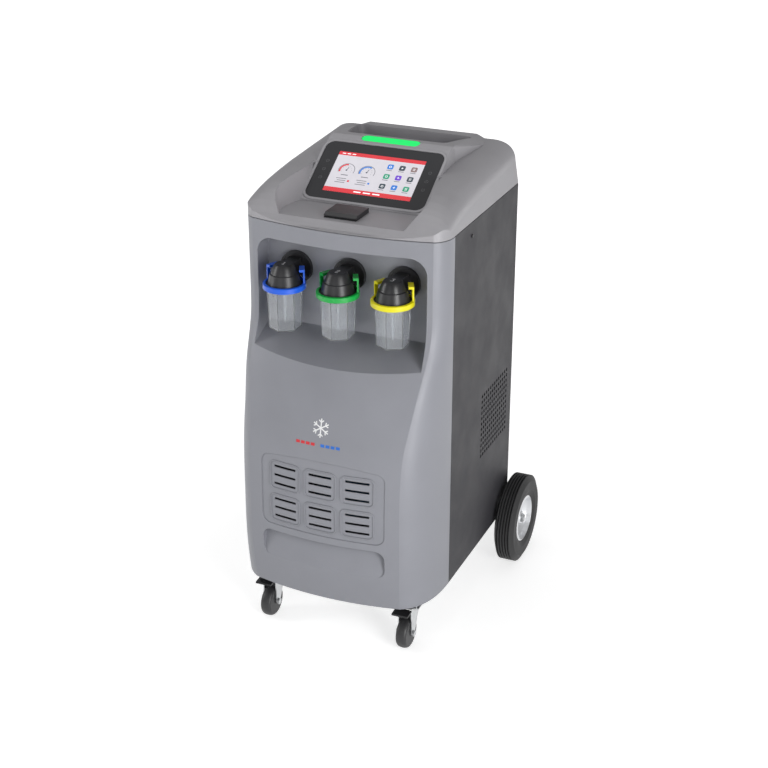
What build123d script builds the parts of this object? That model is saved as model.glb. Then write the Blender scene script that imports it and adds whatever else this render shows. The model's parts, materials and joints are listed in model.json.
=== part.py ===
from build123d import *
import math
import os

os.makedirs("parts", exist_ok=True)

# Air conditioning recharge station, millimetres, +Z up, front towards -Y.
# The origin is on the floor under the middle of the overall box.

# Clearances used between neighbouring pieces
seat_gap = 0.3
running_gap = 0.05
seam = 1.5

# How far cutting tools run past the body
reach = 150.0

# Body envelope
body_width = 510.0
body_half = body_width / 2
panel_front_y = -168.5
panel_rear_y = 264.5
base_z = 138.5
seam_z = 1042.0
cover_wall = 4.0
sheet = 1.5

# Front cover: height, how far forward the middle stands, how far in the corner crease is
front_stations = [
    (base_z, -351.0, 63.0),
    (200.0, -361.0, 62.0),
    (270.0, -365.5, 60.0),
    (380.0, -366.0, 60.5),
    (480.0, -362.5, 60.0),
    (560.0, -349.5, 57.0),
    (645.0, -325.5, 46.0),
    (727.0, -295.5, 36.0),
    (785.0, -270.0, 31.0),
    (830.0, -256.5, 29.5),
]
upper_front_y = -255.0
upper_crease = 29.0
upper_from_z = 860.0
bow_upper = 5.25e-4
bow_lower = 6.2e-4
bow_change_z = 800.0
crease_angle = 14.0
corner_side_y = panel_front_y - 3.5

# Bottle recess in the front cover
recess_half = body_half - 42.0
recess_top_z = 1001.0
recess_back_y = -176.0
recess_sill_z = 775.0
recess_lip_y = -296.0
recess_lip_z = 725.0
recess_corner = 42.0

# Air grille: three by two cells of three slots
cell_pitch_x = 94.0
cell_width = 84.0
cell_height = 74.0
cell_corner = 14.0
cell_rim = 3.2
band_half = 160.0
band_top_z = 512.0
band_end_z = 499.0
band_bottom_z = 318.0
band_corner = 22.0
band_depth = 2.0
slot_width = 59.0
slot_height = 5.5
slot_pitch = 22.5
grille_rows_z = (452.5, 366.0)

# Scoop below the grille
scoop_half = band_half
scoop_top_z = 300.0
scoop_bottom_z = 226.0
scoop_front_y = -364.0
scoop_crease = 60.0
scoop_corner = 24.0
scoop_depth = 20.0

# Top console
tray_z = 1060.0
tray_front_half = body_half - 66.0
tray_rear_half = body_half - 92.0
tray_rear_y = -23.0
tray_front_y = -232.0
tray_corner = 40.0
tray_flare = 24.0
tray_flare_z = 60.0
flank_stations = [
    (-262.0, 1042.5),
    (-248.0, 1044.5),
    (-238.0, 1050.0),
    (-230.0, 1059.0),
    (-221.0, 1072.0),
    (-210.0, 1085.0),
    (-197.0, 1095.0),
    (-180.0, 1102.5),
    (-155.0, 1110.0),
    (-120.0, 1117.0),
    (-70.0, 1123.5),
    (-10.0, 1129.5),
    (100.0, 1136.0),
    (panel_rear_y, 1145.0),
]
shoulder_lean = 9.0
shoulder_drop = 47.0
shoulder_run = 65.0

# Control tablet, lying on the console's slope
tablet_width = 304.0
tablet_length = 175.7
tablet_corner = 22.0
tablet_tilt = 32.7
tablet_front_y = -110.0
tablet_front_z = 1068.3
display_width = 223.0
display_length = 125.0
display_recess = 1.0
display_centre = 86.0
tablet_rim = 7.0
tablet_rim_height = 1.5

# Wedge that carries the tablet, light bar and hand grip behind it
wedge_half = tablet_width / 2 + tablet_rim + 2.0
wedge_rear_half = wedge_half - 14.0
wedge_draft = 0.04
wedge_round = 5.0
wedge_foot = 30.0
wedge_blend = 40.0
wedge_blend_fall = 0.4
wedge_front_y = -118.0
crest_y = 78.0
crest_z = 1176.0
crest_run = 30.0
crest_swell = 3.0
grip_rear_z = 1154.0
pocket_front_y = 86.0
pocket_rear_y = 217.0
pocket_front_half = wedge_half - 44.0
pocket_rear_half = wedge_half - 15.0
pocket_floor_z = 1092.0
pocket_corner = 18.0
pocket_lean = 10.0
light_length = 150.0
light_width = 26.0
light_height = 4.0

# Bottles on the recess wall
bottle_pitch = 136.6
bottle_y = -247.5
bottle_angles = 6
collar_z = 888.7
collar_radius = 50.6
collar_height = 13.0
vessel_radius = 41.0
vessel_foot_radius = 39.0
vessel_step_z = 840.5
vessel_bottom_z = 790.0
vessel_wall = 2.5
cap_radius = 39.0
cap_waist_radius = 34.0
cap_crown_radius = 20.0
cap_top_z = 948.0
coupler_radius = 40.0
coupler_z = 917.0
coupler_thickness = 11.0
spigot_radius = 13.0
spigot_length = 30.0
neck_width = 30.0
neck_low_z = 903.0
neck_high_z = 944.0
clip_angle = 26.0
clip_width = 30.0
clip_thickness = 4.0
clip_hook = 6.0
clip_leg = 9.0
clip_top_z = 936.0

# Rear wheels
tyre_radius = 117.6
tyre_width = 54.0
wheel_outer_x = body_half + 61.3
rim_radius = 62.0
axle_radius = 8.0
axle_y = 366.2 - tyre_radius

# Castors
castor_x = body_half - 70.0
castor_wheel_y = -272.0
castor_wheel_radius = 40.0
castor_wheel_width = 28.0
castor_trail = 30.0
castor_plate_z = 122.0
castor_plate_width = 74.0
castor_plate_length = 88.0
castor_plate_thickness = 3.0
castor_bolt_x = 56.0
castor_bolt_y = 70.0
castor_bolt_radius = 4.0
castor_bolt_hex = 6.5
castor_bolt_head = 3.0

# Welded chassis
rail_width = 40.0
rail_height = 26.0
rail_wall = 2.5
post_leg = 30.0
post_thickness = 3.0
pan_thickness = 2.0
pan_z = castor_plate_z + rail_height


# Seat of the console inside the covers
console_top_z = flank_stations[-1][1]
skirt_inset = cover_wall + 0.6
skirt_wall = 3.0
skirt_depth = 8.0

# Tablet details
bezel_thickness = 3.0
tablet_box_width = 276.0
tablet_box_length = 146.0
tablet_depth = 22.0
light_y = 62.0
light_z = 1168.5
light_tilt = 14.0

# Receipt printer in the tray
printer_x = -9.0
printer_front_y = -212.0
printer_width = 81.0
printer_length = 72.0
printer_flange = 2.0
printer_lid_height = 9.0
printer_depth = 46.0
printer_box_half_x = 34.0
printer_box_front_y = -206.0
printer_box_rear_y = -146.0
paper_width = 57.0
paper_radius = 19.0
hinge_radius = 3.5
pin_radius = 1.5
ear_x = 27.0
ear_width = 8.0

# Side panels and rear panel
panel_flange = 15.0
rear_strip_y = panel_rear_y - 13.5
vent_hole = 8.5
vent_pitch = 15.0
vent_columns = 13
vent_rows = 12
vent_front_y = 44.0
vent_low_z = 390.0
screw_y = -59.0
screw_z = 1008.0
screw_radius = 2.0
screw_head = 4.5
screw_head_height = 2.2
rear_screw_x = body_half - 17.0
rear_screw_z = (200.0, 600.0, 1000.0)
rear_slots = 8
rear_slot_width = 220.0
rear_slot_z = 560.0
rear_slot_pitch = 16.0
port_x = 90.0
port_z = 820.0
port_collar = 11.0
port_hex = 14.0
port_nipple_length = 16.0
inlet_x = body_half - 105.0
inlet_z = 230.0
inlet_width = 62.0
inlet_height = 28.0
switch_width = 14.0
switch_height = 21.0
switch_offset = 18.0
socket_offset = 13.0
switch_pin = 1.5
switch_lean = 8.0
pivot_depth = 6.0

# Bottle fittings
collar_lip = 2.0
flange_radius = 43.5
flange_height = 3.0
tube_radius = 3.5
tube_socket = 10.0

# Wheel details
tyre_grooves = 5
groove_width = 4.0
groove_depth = 5.0
hub_radius = 17.0

# Castor details
race_height = 4.0
race_radius = 25.0
crown_thickness = 3.5
kingpin_radius = 6.0
leg_thickness = 3.0
castor_axle_radius = 5.0
brake_pin_radius = 2.5
brake_y = castor_wheel_y + 2.0
brake_z = 2 * castor_wheel_radius + 16.0
brake_pad_width = 42.0
brake_pad_rise = 13.0
brake_pad_length = 46.0

# Inner machinery
rail_front_y = -296.0
rail_rear_y = panel_rear_y - 6.5
cylinder_x = 160.0 - body_half
cylinder_y = 60.0
cylinder_radius = 115.0
cylinder_height = 420.0
compressor_x = body_half - 150.0
compressor_y = -60.0
compressor_radius = 62.0
compressor_height = 190.0
pump_x = body_half - 145.0
pump_y = 190.0
fan_y = vent_front_y + (vent_columns - 1) * vent_pitch / 2
fan_z = vent_low_z + (vent_rows - 1) * vent_pitch / 2
fan_frame = 180.0
fan_radius = 78.0
fan_shaft = 3.0
fan_blades = 5


def save(node, shape):
    export_step(shape, f"parts/{node}.step")


def box_between(low, high):
    size = [h - l for l, h in zip(low, high)]
    centre = [(h + l) / 2 for l, h in zip(low, high)]
    return Pos(*centre) * Box(*size)


def rod_x(radius, x0, x1, y, z):
    return Pos((x0 + x1) / 2, y, z) * Rot(0, 90, 0) * Cylinder(radius, abs(x1 - x0))


def rod_y(radius, y0, y1, x, z):
    return Pos(x, (y0 + y1) / 2, z) * Rot(90, 0, 0) * Cylinder(radius, abs(y1 - y0))


def rod_z(radius, z0, z1, x, y):
    return Pos(x, y, (z0 + z1) / 2) * Cylinder(radius, abs(z1 - z0))


def plan_face(z, apex_y, crease, rear_y, inset=0.0):
    """Level section of the body: bowed front, a crease, a rounded corner, straight sides and rear."""
    bow = bow_upper if z >= bow_change_z else bow_lower
    crease_x = body_half - crease
    slope = 2 * bow * crease_x
    half = body_half - inset
    start = (crease_x - inset * slope, apex_y + bow * crease_x**2 + inset)
    corner_slope = math.tan(math.atan(slope) + math.radians(crease_angle))
    elbow = (half, start[1] + corner_slope * (half - start[0]))
    side = (half, max(corner_side_y, elbow[1] + 30.0))
    apex = (0.0, apex_y + inset)

    def mirrored(point):
        return (-point[0], point[1])

    front = ThreePointArc(mirrored(start), apex, start)
    right_corner = Bezier(start, elbow, side)
    rest = Polyline(side, (half, rear_y), (-half, rear_y), mirrored(side))
    left_corner = Bezier(mirrored(side), mirrored(elbow), mirrored(start))
    return Plane.XY.offset(z) * make_face([front, right_corner, rest, left_corner])


def cover_form(inset=0.0):
    """Outside of the front cover, or the same form moved inwards by a wall."""
    sections = [plan_face(z, apex, crease, panel_front_y, inset) for z, apex, crease in front_stations]
    sections.append(plan_face(upper_from_z, upper_front_y, upper_crease, panel_front_y, inset))
    belly = loft(sections)
    upper = extrude(sections[-1], amount=seam_z - upper_from_z)
    return belly + upper


def recess_form(grow=0.0):
    """Space of the bottle recess, or the block around it that its walls are cut from."""
    ahead_y = front_stations[3][1] - 54.0
    fall = (recess_sill_z - recess_lip_z) / (recess_back_y - recess_lip_y)
    ahead_z = recess_lip_z - fall * (recess_lip_y - ahead_y)
    side_profile = Polyline(
        (recess_back_y + grow, recess_sill_z - grow),
        (recess_back_y + grow, recess_top_z + grow),
        (ahead_y, recess_top_z + grow),
        (ahead_y, ahead_z - grow),
        close=True,
    )
    prism = extrude(Plane.YZ * make_face(side_profile), amount=recess_half + grow, both=True)
    height = 1.6 * (recess_top_z - recess_sill_z) + 2 * grow
    opening = RectangleRounded(2 * (recess_half + grow), height, recess_corner + grow)
    middle_z = recess_top_z + grow - height / 2
    front_prism = extrude(Plane.XZ.offset(reach - 50.0) * Pos(0, middle_z) * opening, amount=-ahead_y)
    return prism & front_prism


def scoop_form(grow=0.0):
    """Space of the scoop below the grille: its floor runs back and up under an overhanging lip."""
    height = scoop_top_z - scoop_bottom_z + 2 * grow
    outline = RectangleRounded(2 * (scoop_half + grow), height, scoop_corner + grow)
    mouth = extrude(Plane.XZ.offset(reach) * Pos(0, (scoop_top_z + scoop_bottom_z) / 2) * outline,
                    amount=reach - scoop_front_y)
    floor_low = plan_face(scoop_bottom_z - grow, scoop_front_y + grow, scoop_crease, panel_front_y)
    floor_high = plan_face(scoop_top_z + grow, scoop_front_y + scoop_depth + grow, scoop_crease, panel_front_y)
    return mouth - loft([floor_low, floor_high])


def cell_prism(row_z, column, width, height, corner):
    face = Plane.XZ.offset(reach) * Pos(column * cell_pitch_x, row_z) * RectangleRounded(width, height, corner)
    return extrude(face, amount=2 * reach)


def grille_band(rims):
    """Shallow recess around the grille; the rims of its cells stand at the old surface."""
    outline = [
        ThreePointArc((-band_half, band_end_z), (0, band_top_z), (band_half, band_end_z)),
        Line((band_half, band_end_z), (band_half, band_bottom_z)),
        Line((band_half, band_bottom_z), (-band_half, band_bottom_z)),
        Line((-band_half, band_bottom_z), (-band_half, band_end_z)),
    ]
    face = make_face(outline)
    face = fillet(face.vertices(), band_corner)
    band = extrude(Plane.XZ.offset(reach) * face, amount=2 * reach)
    return band - rims


def front_cover():
    outer = cover_form()
    shell = outer - cover_form(cover_wall)
    walls = (recess_form(cover_wall) + scoop_form(cover_wall)) & outer
    rims = []
    slots = []
    for row_z in grille_rows_z:
        for column in (-1, 0, 1):
            rim = cell_prism(row_z, column, cell_width, cell_height, cell_corner)
            inside = cell_prism(row_z, column, cell_width - 2 * cell_rim, cell_height - 2 * cell_rim,
                                cell_corner - cell_rim)
            rims.append(rim - inside)
            for step in (-1, 0, 1):
                slot = Pos(column * cell_pitch_x, scoop_front_y, row_z + step * slot_pitch)
                slots.append(slot * Box(slot_width, reach, slot_height))
    band = grille_band(rims) - cover_form(band_depth)
    above = box_between((-body_width, -body_width, seam_z - seam / 2), (body_width, 0, seam_z + reach))
    return shell + walls - [recess_form(), scoop_form(), band, above] - slots


def flank_section(y, top_z, inset):
    """Upright section of the console: straight sides, rounded shoulders, level top."""
    rise = max(top_z - seam_z, 3.0)
    drop = min(shoulder_drop, 0.75 * rise)
    lean = shoulder_lean * (rise - drop) / (console_top_z - seam_z - shoulder_drop)
    half = body_half - inset
    top = top_z - inset
    low = (half, seam_z - inset - 30.0)
    rim = (half, seam_z - inset)
    side = (half - lean, top - drop)
    elbow = (half - 1.3 * lean, top - 2.0)
    shoulder = (half - shoulder_run, top)
    left_low, left_rim, left_side, left_elbow, left_shoulder = [
        (-x, z) for x, z in (low, rim, side, elbow, shoulder)
    ]
    return Plane.XZ.offset(-y) * make_face([
        Line(low, rim),
        Line(rim, side),
        Bezier(side, elbow, shoulder),
        Line(shoulder, left_shoulder),
        Bezier(left_shoulder, left_elbow, left_side),
        Line(left_side, left_rim),
        Line(left_rim, left_low),
        Line(left_low, low),
    ])


def tray_form(grow):
    """Space above the tray floor in front of the tablet; its walls flare outwards as they rise."""
    sections = []
    for rise, flare in ((-grow, -tray_flare), (2 * tray_flare_z, tray_flare)):
        front_half = tray_front_half + flare + grow
        rear_half = tray_rear_half + flare + grow
        places = [
            (front_half - tray_corner, tray_front_y - grow - 0.8 * tray_corner),
            (front_half - 0.3 * tray_corner, tray_front_y - grow),
            (front_half, tray_front_y + 0.8 * tray_corner),
            (front_half - 9.0, -125.0),
            (rear_half, tray_rear_y + grow),
        ]
        right = Spline(places)
        left = Spline([(-x, y) for x, y in reversed(places)])
        ends = [Line(right @ 1, left @ 0), Line(left @ 1, right @ 0)]
        sections.append(Plane.XY.offset(tray_z + rise) * make_face([right, left, *ends]))
    return loft(sections, ruled=True)


def wedge_section(y, half, top_z, blend):
    """Upright section of the wedge: drafted sides, upper edges rounded or blended into the flanks."""
    low_z = seam_z - wedge_foot
    spread = wedge_draft * (top_z - low_z)
    foot = (half + blend + spread, low_z)
    side = (half + blend, top_z - wedge_round - blend * wedge_blend_fall)
    elbow = (half, top_z)
    crown = (half - wedge_round, top_z)
    left_foot, left_side, left_elbow, left_crown = [(-x, z) for x, z in (foot, side, elbow, crown)]
    return Plane.XZ.offset(-y) * make_face([
        Line(foot, side),
        Bezier(side, elbow, crown),
        Line(crown, left_crown),
        Bezier(left_crown, left_elbow, left_side),
        Line(left_side, left_foot),
        Line(left_foot, foot),
    ])


def wedge_form(inset):
    """Block that carries the tablet and runs back to the hand grip."""
    drop = 2.0 * inset
    slope = math.tan(math.radians(tablet_tilt))
    start_y = wedge_front_y + inset
    rear_y = panel_rear_y - inset
    bend_y = crest_y - crest_run
    bend_z = tablet_front_z + (bend_y - tablet_front_y) * slope
    middle_z = (bend_z + crest_z) / 2 + crest_swell
    tops = [
        (start_y, tablet_front_z + (start_y - tablet_front_y) * slope),
        (tray_rear_y, tablet_front_z + (tray_rear_y - tablet_front_y) * slope),
        (bend_y, bend_z),
        ((bend_y + crest_y) / 2, middle_z),
        (crest_y, crest_z),
        (rear_y, grip_rear_z),
    ]
    narrowing = (wedge_half - wedge_rear_half) / (panel_rear_y - tray_rear_y)
    sections = []
    for y, top_z in tops:
        half = wedge_half - inset - narrowing * max(y - tray_rear_y, 0.0)
        blend = wedge_blend if y == rear_y else 0.0
        sections.append(wedge_section(y, half, top_z - drop, blend))
    return loft(sections, ruled=True)


def pocket_form(grow):
    """Finger space in front of the grip rail; its walls lean outwards."""
    depth = crest_z - pocket_floor_z
    sections = []
    for rise, lean in ((-grow, 0.0), (2 * depth, 2 * pocket_lean)):
        front_half = pocket_front_half + grow + lean
        rear_half = pocket_rear_half + grow + lean
        plan = make_face(Polyline(
            (-front_half, pocket_front_y - grow),
            (front_half, pocket_front_y - grow),
            (rear_half, pocket_rear_y + grow),
            (-rear_half, pocket_rear_y + grow),
            close=True,
        ))
        plan = fillet(plan.vertices(), pocket_corner + grow)
        sections.append(Plane.XY.offset(pocket_floor_z + rise) * plan)
    return loft(sections)


def console_form(inset=0.0):
    flanks = loft([flank_section(y, z, inset) for y, z in flank_stations], ruled=True)
    plan = plan_face(seam_z, upper_front_y, upper_crease, panel_rear_y - inset, inset)
    flanks &= extrude(Plane.XY.offset(-30.0) * plan, amount=200.0)
    return (flanks - tray_form(inset)) + wedge_form(inset) - pocket_form(inset)


def on_slope(shape, along=0.0, proud=0.0):
    """Place a flat shape on the tablet's slope, measured up the slope from the tablet's front edge."""
    slope = Pos(0, tablet_front_y, tablet_front_z) * Rot(tablet_tilt, 0, 0)
    return slope * Pos(0, along, proud) * shape


def top_console():
    outer = console_form()
    below = box_between((-body_width, -body_width, seam_z - reach), (body_width, body_width, seam_z + seam / 2))
    shell = outer - console_form(cover_wall) - below
    skirt_plan = plan_face(seam_z, upper_front_y, upper_crease, panel_rear_y - skirt_inset, skirt_inset)
    skirt_void = plan_face(seam_z, upper_front_y, upper_crease, panel_rear_y - skirt_inset - skirt_wall,
                           skirt_inset + skirt_wall)
    skirt = extrude(Plane.XY.offset(-skirt_depth) * (skirt_plan - skirt_void), amount=skirt_depth + cover_wall)
    bezel_bed = on_slope(extrude(RectangleRounded(tablet_width + 2 * seat_gap, tablet_length + 2 * seat_gap,
                                                  tablet_corner + seat_gap), amount=60.0),
                         tablet_length / 2, -bezel_thickness - seat_gap)
    window = on_slope(Box(tablet_box_width + 2 * seat_gap, tablet_box_length + 2 * seat_gap, 80.0),
                      tablet_length / 2, -20.0)
    light_bed = light_place() * extrude(SlotOverall(light_length + 2 * seat_gap, light_width + 2 * seat_gap),
                                        amount=40.0)
    printer_hole = box_between((printer_x - printer_box_half_x - seat_gap, printer_box_front_y - seat_gap, 1000),
                               (printer_x + printer_box_half_x + seat_gap, printer_box_rear_y + seat_gap, 1075))
    rim = on_slope(extrude(RectangleRounded(tablet_width + 2 * tablet_rim, tablet_length + 2 * tablet_rim,
                                            tablet_corner + tablet_rim), amount=tablet_rim_height),
                   tablet_length / 2)
    return shell + skirt + rim - [bezel_bed, window, light_bed, printer_hole]


def light_place():
    return Pos(0, light_y, light_z) * Rot(light_tilt, 0, 0)


def light_bar():
    bar = extrude(SlotOverall(light_length, light_width), amount=light_height)
    bar = fillet(bar.edges().group_by(Axis.Z)[-1], 1.5)
    return light_place() * Pos(0, 0, seat_gap) * bar


def tablet_housing():
    bezel = extrude(RectangleRounded(tablet_width, tablet_length, tablet_corner), amount=-bezel_thickness)
    case = Pos(0, 0, -tablet_depth / 2) * Box(tablet_box_width, tablet_box_length, tablet_depth)
    housing = on_slope(bezel + case, tablet_length / 2)
    display = extrude(Rectangle(display_width, display_length), amount=-display_recess, both=True)
    return housing - on_slope(display, display_centre)


def tablet_screen():
    glass = extrude(Rectangle(display_width - 2 * seat_gap, display_length - 2 * seat_gap),
                    amount=-display_recess + seat_gap)
    return on_slope(glass, display_centre)


def printer_parts():
    half_x = printer_width / 2
    rear_y = printer_front_y + printer_length
    flange_top = tray_z + seat_gap + printer_flange
    body = box_between((printer_x - half_x, printer_front_y, tray_z + seat_gap),
                       (printer_x + half_x, rear_y, flange_top))
    body += box_between((printer_x - printer_box_half_x, printer_box_front_y, tray_z - printer_depth),
                        (printer_x + printer_box_half_x, printer_box_rear_y, flange_top))
    body -= box_between((printer_x - paper_width / 2 - 2, printer_box_front_y + 4, tray_z - printer_depth + 3),
                        (printer_x + paper_width / 2 + 2, printer_box_rear_y - 3, flange_top + 1))
    hinge_z = flange_top + hinge_radius + seat_gap
    hinge_y = rear_y + hinge_radius + 1.0
    ear = box_between((-ear_width / 2, rear_y - 6, tray_z + seat_gap), (ear_width / 2, hinge_y, flange_top))
    ear += box_between((-ear_width / 2, hinge_y - hinge_radius, tray_z + seat_gap),
                       (ear_width / 2, hinge_y + hinge_radius, hinge_z))
    ear += rod_x(hinge_radius, -ear_width / 2, ear_width / 2, hinge_y, hinge_z)
    for side in (-1, 1):
        body += Pos(printer_x + side * ear_x, 0, 0) * ear
    body -= rod_x(pin_radius + seat_gap, printer_x - half_x, printer_x + half_x, hinge_y, hinge_z)
    save("printer_body", body)
    lid_low = flange_top + seat_gap
    side = Polyline(
        (printer_front_y + 3.0, lid_low),
        (rear_y - 1.0, lid_low),
        (rear_y - 1.0, lid_low + printer_lid_height),
        (printer_front_y + 10.0, lid_low + printer_lid_height),
        (printer_front_y, lid_low + printer_lid_height - 5.0),
        (printer_front_y, lid_low + 1.5),
        close=True,
    )
    lid = Pos(printer_x, 0, 0) * extrude(Plane.YZ * make_face(side), amount=half_x, both=True)
    knuckle_half = ear_x - ear_width / 2 - 1.0
    knuckle = box_between((printer_x - knuckle_half, rear_y - 4.0, lid_low),
                          (printer_x + knuckle_half, hinge_y, lid_low + 2 * hinge_radius - 1.0))
    knuckle += rod_x(hinge_radius, printer_x - knuckle_half, printer_x + knuckle_half, hinge_y, hinge_z)
    lid += knuckle
    lid -= rod_x(pin_radius + running_gap, printer_x - half_x, printer_x + half_x, hinge_y, hinge_z)
    save("printer_lid", lid)
    pin_half = ear_x + ear_width / 2 + 0.5
    save("printer_hinge_pin", rod_x(pin_radius, printer_x - pin_half, printer_x + pin_half, hinge_y, hinge_z))
    roll_z = tray_z - printer_depth + 3 + paper_radius + seat_gap
    roll_y = (printer_box_front_y + printer_box_rear_y) / 2
    roll = rod_x(paper_radius, printer_x - paper_width / 2, printer_x + paper_width / 2, roll_y, roll_z)
    save("paper_roll", roll - rod_x(6.0, printer_x - paper_width, printer_x + paper_width, roll_y, roll_z))


def sheet_side(side):
    """Folded side panel: flat sheet with inward flanges, air vent and one screw hole."""
    outer_x = side * body_half
    inner_x = side * (body_half - sheet)
    flange_x = side * (body_half - panel_flange)
    front = panel_front_y + seam / 2
    rear = rear_strip_y - seam / 2
    low = base_z
    high = seam_z - seam / 2

    flange_low = pan_z + pan_thickness + 2 * seat_gap
    flange_high = seam_z - skirt_depth - seat_gap
    panel = box_between((min(inner_x, outer_x), front, low), (max(inner_x, outer_x), rear, high))
    panel += box_between((min(flange_x, outer_x), front, flange_low),
                         (max(flange_x, outer_x), front + sheet, flange_high))
    hole = Box(20, vent_hole, vent_hole)
    holes = [
        Pos(outer_x, vent_front_y + column * vent_pitch, vent_low_z + row * vent_pitch) * hole
        for column in range(vent_columns)
        for row in range(vent_rows)
    ]
    holes.append(rod_x(screw_radius + seat_gap, outer_x - 10, outer_x + 10, screw_y, screw_z))
    return panel - holes


def rear_panel():
    high = seam_z - seam / 2
    back = box_between((-body_half, panel_rear_y - sheet, base_z), (body_half, panel_rear_y, high))
    for side in (-1, 1):
        x0 = side * body_half
        x1 = side * (body_half - sheet)
        back += box_between((min(x0, x1), rear_strip_y, base_z), (max(x0, x1), panel_rear_y, high))
    cuts = [
        rod_y(port_collar + seat_gap, 200, 300, side * port_x, port_z) for side in (-1, 1)
    ]
    cuts.append(box_between((inlet_x - inlet_width / 2 - seat_gap, 200, inlet_z - inlet_height / 2 - seat_gap),
                            (inlet_x + inlet_width / 2 + seat_gap, 300, inlet_z + inlet_height / 2 + seat_gap)))
    for row in range(rear_slots):
        cuts.append(Pos(0, panel_rear_y, rear_slot_z + row * rear_slot_pitch) * Box(rear_slot_width, 20, 7.0))
    for side in (-1, 1):
        for z in rear_screw_z:
            cuts.append(rod_y(screw_radius + seat_gap, 200, 300, side * rear_screw_x, z))
    return back - cuts


def panel_screws():
    screws = []
    for side in (-1, 1):
        head_x = side * (body_half + seat_gap)
        head = rod_x(screw_head, head_x, head_x + side * screw_head_height, screw_y, screw_z)
        screws.append(head + rod_x(screw_radius, head_x, head_x - side * 14.0, screw_y, screw_z))
        head_y = panel_rear_y + seat_gap
        for z in rear_screw_z:
            head = rod_y(screw_head, head_y, head_y + screw_head_height, side * rear_screw_x, z)
            screws.append(head + rod_y(screw_radius, head_y, head_y - 12.0, side * rear_screw_x, z))
    return Compound(children=screws)


def service_port(side, nipple_radius):
    x = side * port_x
    inner = rod_y(port_collar, panel_rear_y - 30.0, panel_rear_y + seat_gap + 0.1, x, port_z)
    flange = Pos(x, panel_rear_y + seat_gap, port_z) * Rot(-90, 0, 0) * extrude(
        RegularPolygon(port_hex, 6), amount=8.0)
    nipple_y = panel_rear_y + seat_gap + 8.0
    nipple = rod_y(nipple_radius, nipple_y, nipple_y + port_nipple_length, x, port_z)
    bore = rod_y(nipple_radius - 3.0, panel_rear_y - 20.0, nipple_y + port_nipple_length + 1, x, port_z)
    return inner + flange + nipple - bore


def power_inlet():
    """Flanged inlet with its socket, and the bay beside it for the main switch."""
    face_y = panel_rear_y + seat_gap
    module = box_between((inlet_x - inlet_width / 2, face_y - 30, inlet_z - inlet_height / 2),
                         (inlet_x + inlet_width / 2, face_y, inlet_z + inlet_height / 2))
    module += box_between((inlet_x - inlet_width / 2 - 5, face_y, inlet_z - inlet_height / 2 - 5),
                          (inlet_x + inlet_width / 2 + 5, face_y + 2.5, inlet_z + inlet_height / 2 + 5))
    socket_x = inlet_x - socket_offset
    switch_x = inlet_x + switch_offset
    socket = Pos(socket_x, face_y - 8, inlet_z) * Box(24, 22, 17)
    bay = Pos(switch_x, face_y - 7, inlet_z) * Box(switch_width + 1.0, 22, switch_height + 1.0)
    pin_half = switch_width / 2 + 1.0
    pivot = rod_x(switch_pin, switch_x - pin_half, switch_x + pin_half, face_y - pivot_depth, inlet_z)
    pins = [
        Pos(socket_x + dx, face_y - 15, inlet_z + dz) * Box(2, 10, 4)
        for dx, dz in ((-7, -2), (0, 3), (7, -2))
    ]
    return module - socket - bay + pivot + pins


def rocker_switch():
    """Rocker shown switched on: its upper half stands out."""
    front = pivot_depth + 4.0
    side = Polyline(
        (-4.0, 3.0 - switch_height / 2),
        (front, 1.0 - switch_height / 2),
        (front - 1.5, 0),
        (front, switch_height / 2 - 1.0),
        (-4.0, switch_height / 2 - 3.0),
        close=True,
    )
    rocker = extrude(Plane.YZ * make_face(side), amount=switch_width / 2, both=True)
    rocker -= rod_x(switch_pin + running_gap, -switch_width, switch_width, 0, 0)
    place = Pos(inlet_x + switch_offset, panel_rear_y + seat_gap - pivot_depth, inlet_z)
    return place * Rot(-switch_lean, 0, 0) * rocker


def clip_form(side):
    """Hooked clip that stands on the collar and reaches over the edge of the cap."""
    near = side * (flange_radius + seat_gap)
    far = side * (flange_radius + clip_thickness)
    tip = side * (cap_waist_radius + 1.0)
    hook_z = clip_top_z - clip_hook
    post = box_between((min(near, far), -clip_width / 2, collar_z + collar_lip + 3.0),
                       (max(near, far), clip_width / 2, clip_top_z))
    hook = box_between((min(tip, far), -clip_width / 2, hook_z), (max(tip, far), clip_width / 2, clip_top_z))
    slot = box_between((min(tip, far) - 1, -clip_width / 2 + clip_leg, collar_z + collar_height + 4.0),
                       (max(tip, far) + 1, clip_width / 2 - clip_leg, hook_z))
    return post + hook - slot


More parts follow.
